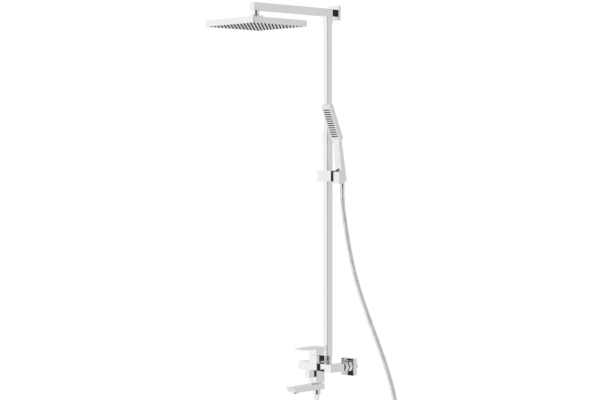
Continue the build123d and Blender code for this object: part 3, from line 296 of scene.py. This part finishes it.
def wound_tube(name, spots):
    """A tube with a groove that winds round it, along spots of a distance and a place."""
    mesh = bmesh.new()
    across = Vector((0, 1, 0))
    rings = []
    for i, (at, place) in enumerate(spots):
        before, after = spots[max(i - 1, 0)][1], spots[min(i + 1, len(spots) - 1)][1]
        along = (after - before).normalized()
        across = (across - along * across.dot(along)).normalized()
        other = along.cross(across)
        ring = []
        for k in range(HOSE_SIDES):
            angle = math.tau * k / HOSE_SIDES
            turn = (at / HOSE_PITCH - angle / math.tau) % 1
            depth = HOSE_GROOVE * max(0.0, math.cos(math.tau * (turn - 0.5))) ** 2
            radius = HOSE_DIAMETER / 2 - depth
            ring.append(mesh.verts.new(place + radius * (math.cos(angle) * across
                                                         + math.sin(angle) * other)))
        rings.append(ring)
    for low, high in zip(rings, rings[1:]):
        for k in range(HOSE_SIDES):
            mesh.faces.new((low[k], low[k - 1], high[k - 1], high[k]))
    mesh.faces.new(rings[0])
    mesh.faces.new(rings[-1][::-1])
    bmesh.ops.recalc_face_normals(mesh, faces=mesh.faces)
    for face in mesh.faces:
        face.smooth = len(face.verts) == 4
    data = bpy.data.meshes.new(name)
    mesh.to_mesh(data)
    mesh.free()
    tube = bpy.data.objects.new(name, data)
    bpy.context.scene.collection.objects.link(tube)
    paint(tube, "hose_skin")
    return tube


def make_hose():
    """The hose in three lengths, cut at CUTS along its route."""
    spots = evenly(hose_line(), HOSE_PITCH / STEPS_PER_TURN)
    total = spots[-1][0]
    ends = (0.0, *CUTS, total)
    bodies = (("holder", "handset"), ("slider", "holder"), ("root", "slider"))
    names = ("hose_upper", "hose_middle", "hose_lower")
    first = 0
    for name, (low_body, high_body), start, end in zip(names, bodies, ends, ends[1:]):
        last = max(i for i, (at, _) in enumerate(spots) if at <= end + ROUNDING)
        part = spots[first:last + 1]
        tube = wound_tube(name, part)
        top, bottom = part[0][1], part[-1][1]
        if name == "hose_lower":
            LOOP_STILL + loop_rise(top)
            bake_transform(tube)
            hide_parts("shower_hose")
        else:
            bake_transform(tube)
        first = last


def loop_rise(top):
    """The step from the still part of the loop to where it follows the slider altogether.

    It is square to the line through the two still places, so that both lie at its start.
    """
    still = (LOOP_RIGHT - LOOP_STILL).normalized()
    rise = top - LOOP_STILL
    rise.y = 0
    still.y = 0
    still.normalize()
    across = rise - still * rise.dot(still)
    return across


# ---- spray face of the handset -----------------------------------------------------------
FACE_MIDDLE = Vector((0.047, -0.070, 0.783))
FACE_UP = Vector((0, -0.048, 0.110)).normalized()
FACE_OUT = Vector((1, 0, 0)).cross(FACE_UP)
STRIP_ROWS, STRIP_PITCH = 13, 0.0076
STRIP_WIDE, STRIP_TALL = 0.0290, 0.0036
STRIP_SUNK, STRIP_PROUD, STRIP_EASE = -0.0005, 0.0006, 0.0003
STRIP_CORNERS = 8


def strip_ring(mesh, middle, radius, high):
    """One outline of a strip with round ends, at a height over the spray face."""
    reach = (STRIP_WIDE - STRIP_TALL) / 2
    ring = []
    for side in (1, -1):
        for k in range(STRIP_CORNERS + 1):
            angle = math.pi * (k / STRIP_CORNERS - 0.5)
            across = side * (reach + radius * math.cos(angle))
            along = side * radius * math.sin(angle)
            ring.append(mesh.verts.new(middle + Vector((across, 0, 0)) + FACE_UP * along
                                       + FACE_OUT * high))
    return ring


def make_strips():
    """Soft dark strips that the handset's nozzles stand in, one for each row."""
    mesh = bmesh.new()
    for row in range(STRIP_ROWS):
        middle = FACE_MIDDLE + FACE_UP * STRIP_PITCH * (row - (STRIP_ROWS - 1) / 2)
        full, eased = STRIP_TALL / 2, STRIP_TALL / 2 - STRIP_EASE
        rings = [strip_ring(mesh, middle, full, STRIP_SUNK),
                 strip_ring(mesh, middle, full, STRIP_PROUD - STRIP_EASE),
                 strip_ring(mesh, middle, eased, STRIP_PROUD)]
        for low, high in zip(rings, rings[1:]):
            for k in range(len(low)):
                mesh.faces.new((low[k - 1], low[k], high[k], high[k - 1]))
        mesh.faces.new(rings[0][::-1])
        mesh.faces.new(rings[-1])
    bmesh.ops.recalc_face_normals(mesh, faces=mesh.faces)
    data = bpy.data.meshes.new("spray_strips")
    mesh.to_mesh(data)
    mesh.free()
    strips = bpy.data.objects.new("spray_strips", data)
    bpy.context.scene.collection.objects.link(strips)
    paint(strips, "silicone")
    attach(strips, "handset")


def make_spring():
    """The button's spring: a copy of its CAD node, painted steel."""
    node = frame["nodes"]["button_spring"]
    data = node.data.copy()
    data.transform(node.matrix_world)
    coil = bpy.data.objects.new("button_coil", data)
    bpy.context.scene.collection.objects.link(coil)
    paint(coil, "steel")
    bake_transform(coil)
    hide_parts("button_spring")


# ---- floor, light ------------------------------------------------------------------------
FLOOR_Z = -0.46
FLOOR_RADIUS = 2.3
FLOOR_CORNERS = 96


def make_floor():
    """A pale round floor just below the loop of the hose."""
    mesh = bmesh.new()
    bmesh.ops.create_circle(mesh, cap_ends=True, segments=FLOOR_CORNERS, radius=FLOOR_RADIUS)
    data = bpy.data.meshes.new("floor")
    mesh.to_mesh(data)
    mesh.free()
    floor = bpy.data.objects.new("floor", data)
    floor.location.z = FLOOR_Z
    bpy.context.scene.collection.objects.link(floor)
    shader = Shader("floor", roughness=0.8)
    shader.tint(shader.noise(grain=0.4, detail=3), dark=(0.86, 0.86, 0.86), light=(0.89, 0.89, 0.89))
    data.materials.append(shader.material)


LIGHT_SIDE = (-0.707, -0.707, 0.0)              # the bright side of the studio, front left
DARK_SIDE = (0.707, -0.707, 0.0)                # the dark side, behind the camera
# How bright the studio is, from facing away from a side, at -1, to facing it, at 1
LIGHT_TONES = ((-1.0, 0.70), (-0.3, 0.62), (0.3, 0.80), (0.8, 0.98))
DARK_TONES = ((0.80, 1.0), (0.93, 0.15), (1.0, 0.04))
LAMP_AIM = Vector((0, -0.1, 0.5))


def make_world():
    """A white studio: brightest at the front left, greyer at the back right, dark behind the
    camera. The camera itself sees plain white."""
    world = bpy.data.worlds.new("studio")
    bpy.context.scene.world = world
    world.use_nodes = True
    tree = world.node_tree
    nodes, links = tree.nodes, tree.links
    background = nodes["Background"]

    def facing(direction):
        node = nodes.new("ShaderNodeVectorMath")
        node.operation = "DOT_PRODUCT"
        node.inputs[1].default_value = direction
        links.new(place, node.inputs[0])
        return node.outputs["Value"]

    def ramp(values, stops):
        spread = nodes.new("ShaderNodeMapRange")
        spread.inputs["From Min"].default_value = -1
        spread.inputs["From Max"].default_value = 1
        links.new(values, spread.inputs["Value"])
        node = nodes.new("ShaderNodeValToRGB")
        node.color_ramp.interpolation = "EASE"
        while len(node.color_ramp.elements) < len(stops):
            node.color_ramp.elements.new(0.5)
        for element, (at, value) in zip(node.color_ramp.elements, stops):
            element.position = (at + 1) / 2
            element.color = (value, value, value, 1)
        links.new(spread.outputs["Result"], node.inputs["Fac"])
        return node.outputs["Color"]

    def times(a, b):
        node = nodes.new("ShaderNodeMix")
        node.data_type = "RGBA"
        node.blend_type = "MULTIPLY"
        node.inputs["Factor"].default_value = 1
        links.new(a, node.inputs["A"])
        links.new(b, node.inputs["B"])
        return node.outputs["Result"]

    place = nodes.new("ShaderNodeTexCoord").outputs["Generated"]
    sides = ramp(facing(LIGHT_SIDE), LIGHT_TONES)
    dark = ramp(facing(DARK_SIDE), DARK_TONES)
    studio = times(sides, dark)
    seen = nodes.new("ShaderNodeLightPath").outputs["Is Camera Ray"]
    choose = nodes.new("ShaderNodeMix")
    choose.data_type = "RGBA"
    choose.inputs["B"].default_value = (1, 1, 1, 1)
    links.new(seen, choose.inputs["Factor"])
    links.new(studio, choose.inputs["A"])
    links.new(choose.outputs["Result"], background.inputs["Color"])
    background.inputs["Strength"].default_value = 1.0


def soft_light(name, place, size, power):
    """A large lamp aimed at the middle of the riser, for the matt parts; chrome doesn't see it."""
    lamp = bpy.data.objects.new(name, bpy.data.lights.new(name, "AREA"))
    lamp.data.size = size
    lamp.data.energy = power
    lamp.location = place
    lamp.rotation_euler = (LAMP_AIM - Vector(place)).to_track_quat("-Z", "Y").to_euler()
    lamp.visible_glossy = False
    bpy.context.scene.collection.objects.link(lamp)


def make_lights():
    soft_light("key", place=(-2.0, -3.0, 3.0), size=2.0, power=60)
    soft_light("fill", place=(3.0, -1.0, 1.5), size=2.0, power=25)


make_camera()
paint_frame()
make_hose()
make_strips()
make_spring()
make_floor()
make_world()
make_lights()
bpy.context.scene.view_settings.view_transform = "Standard"
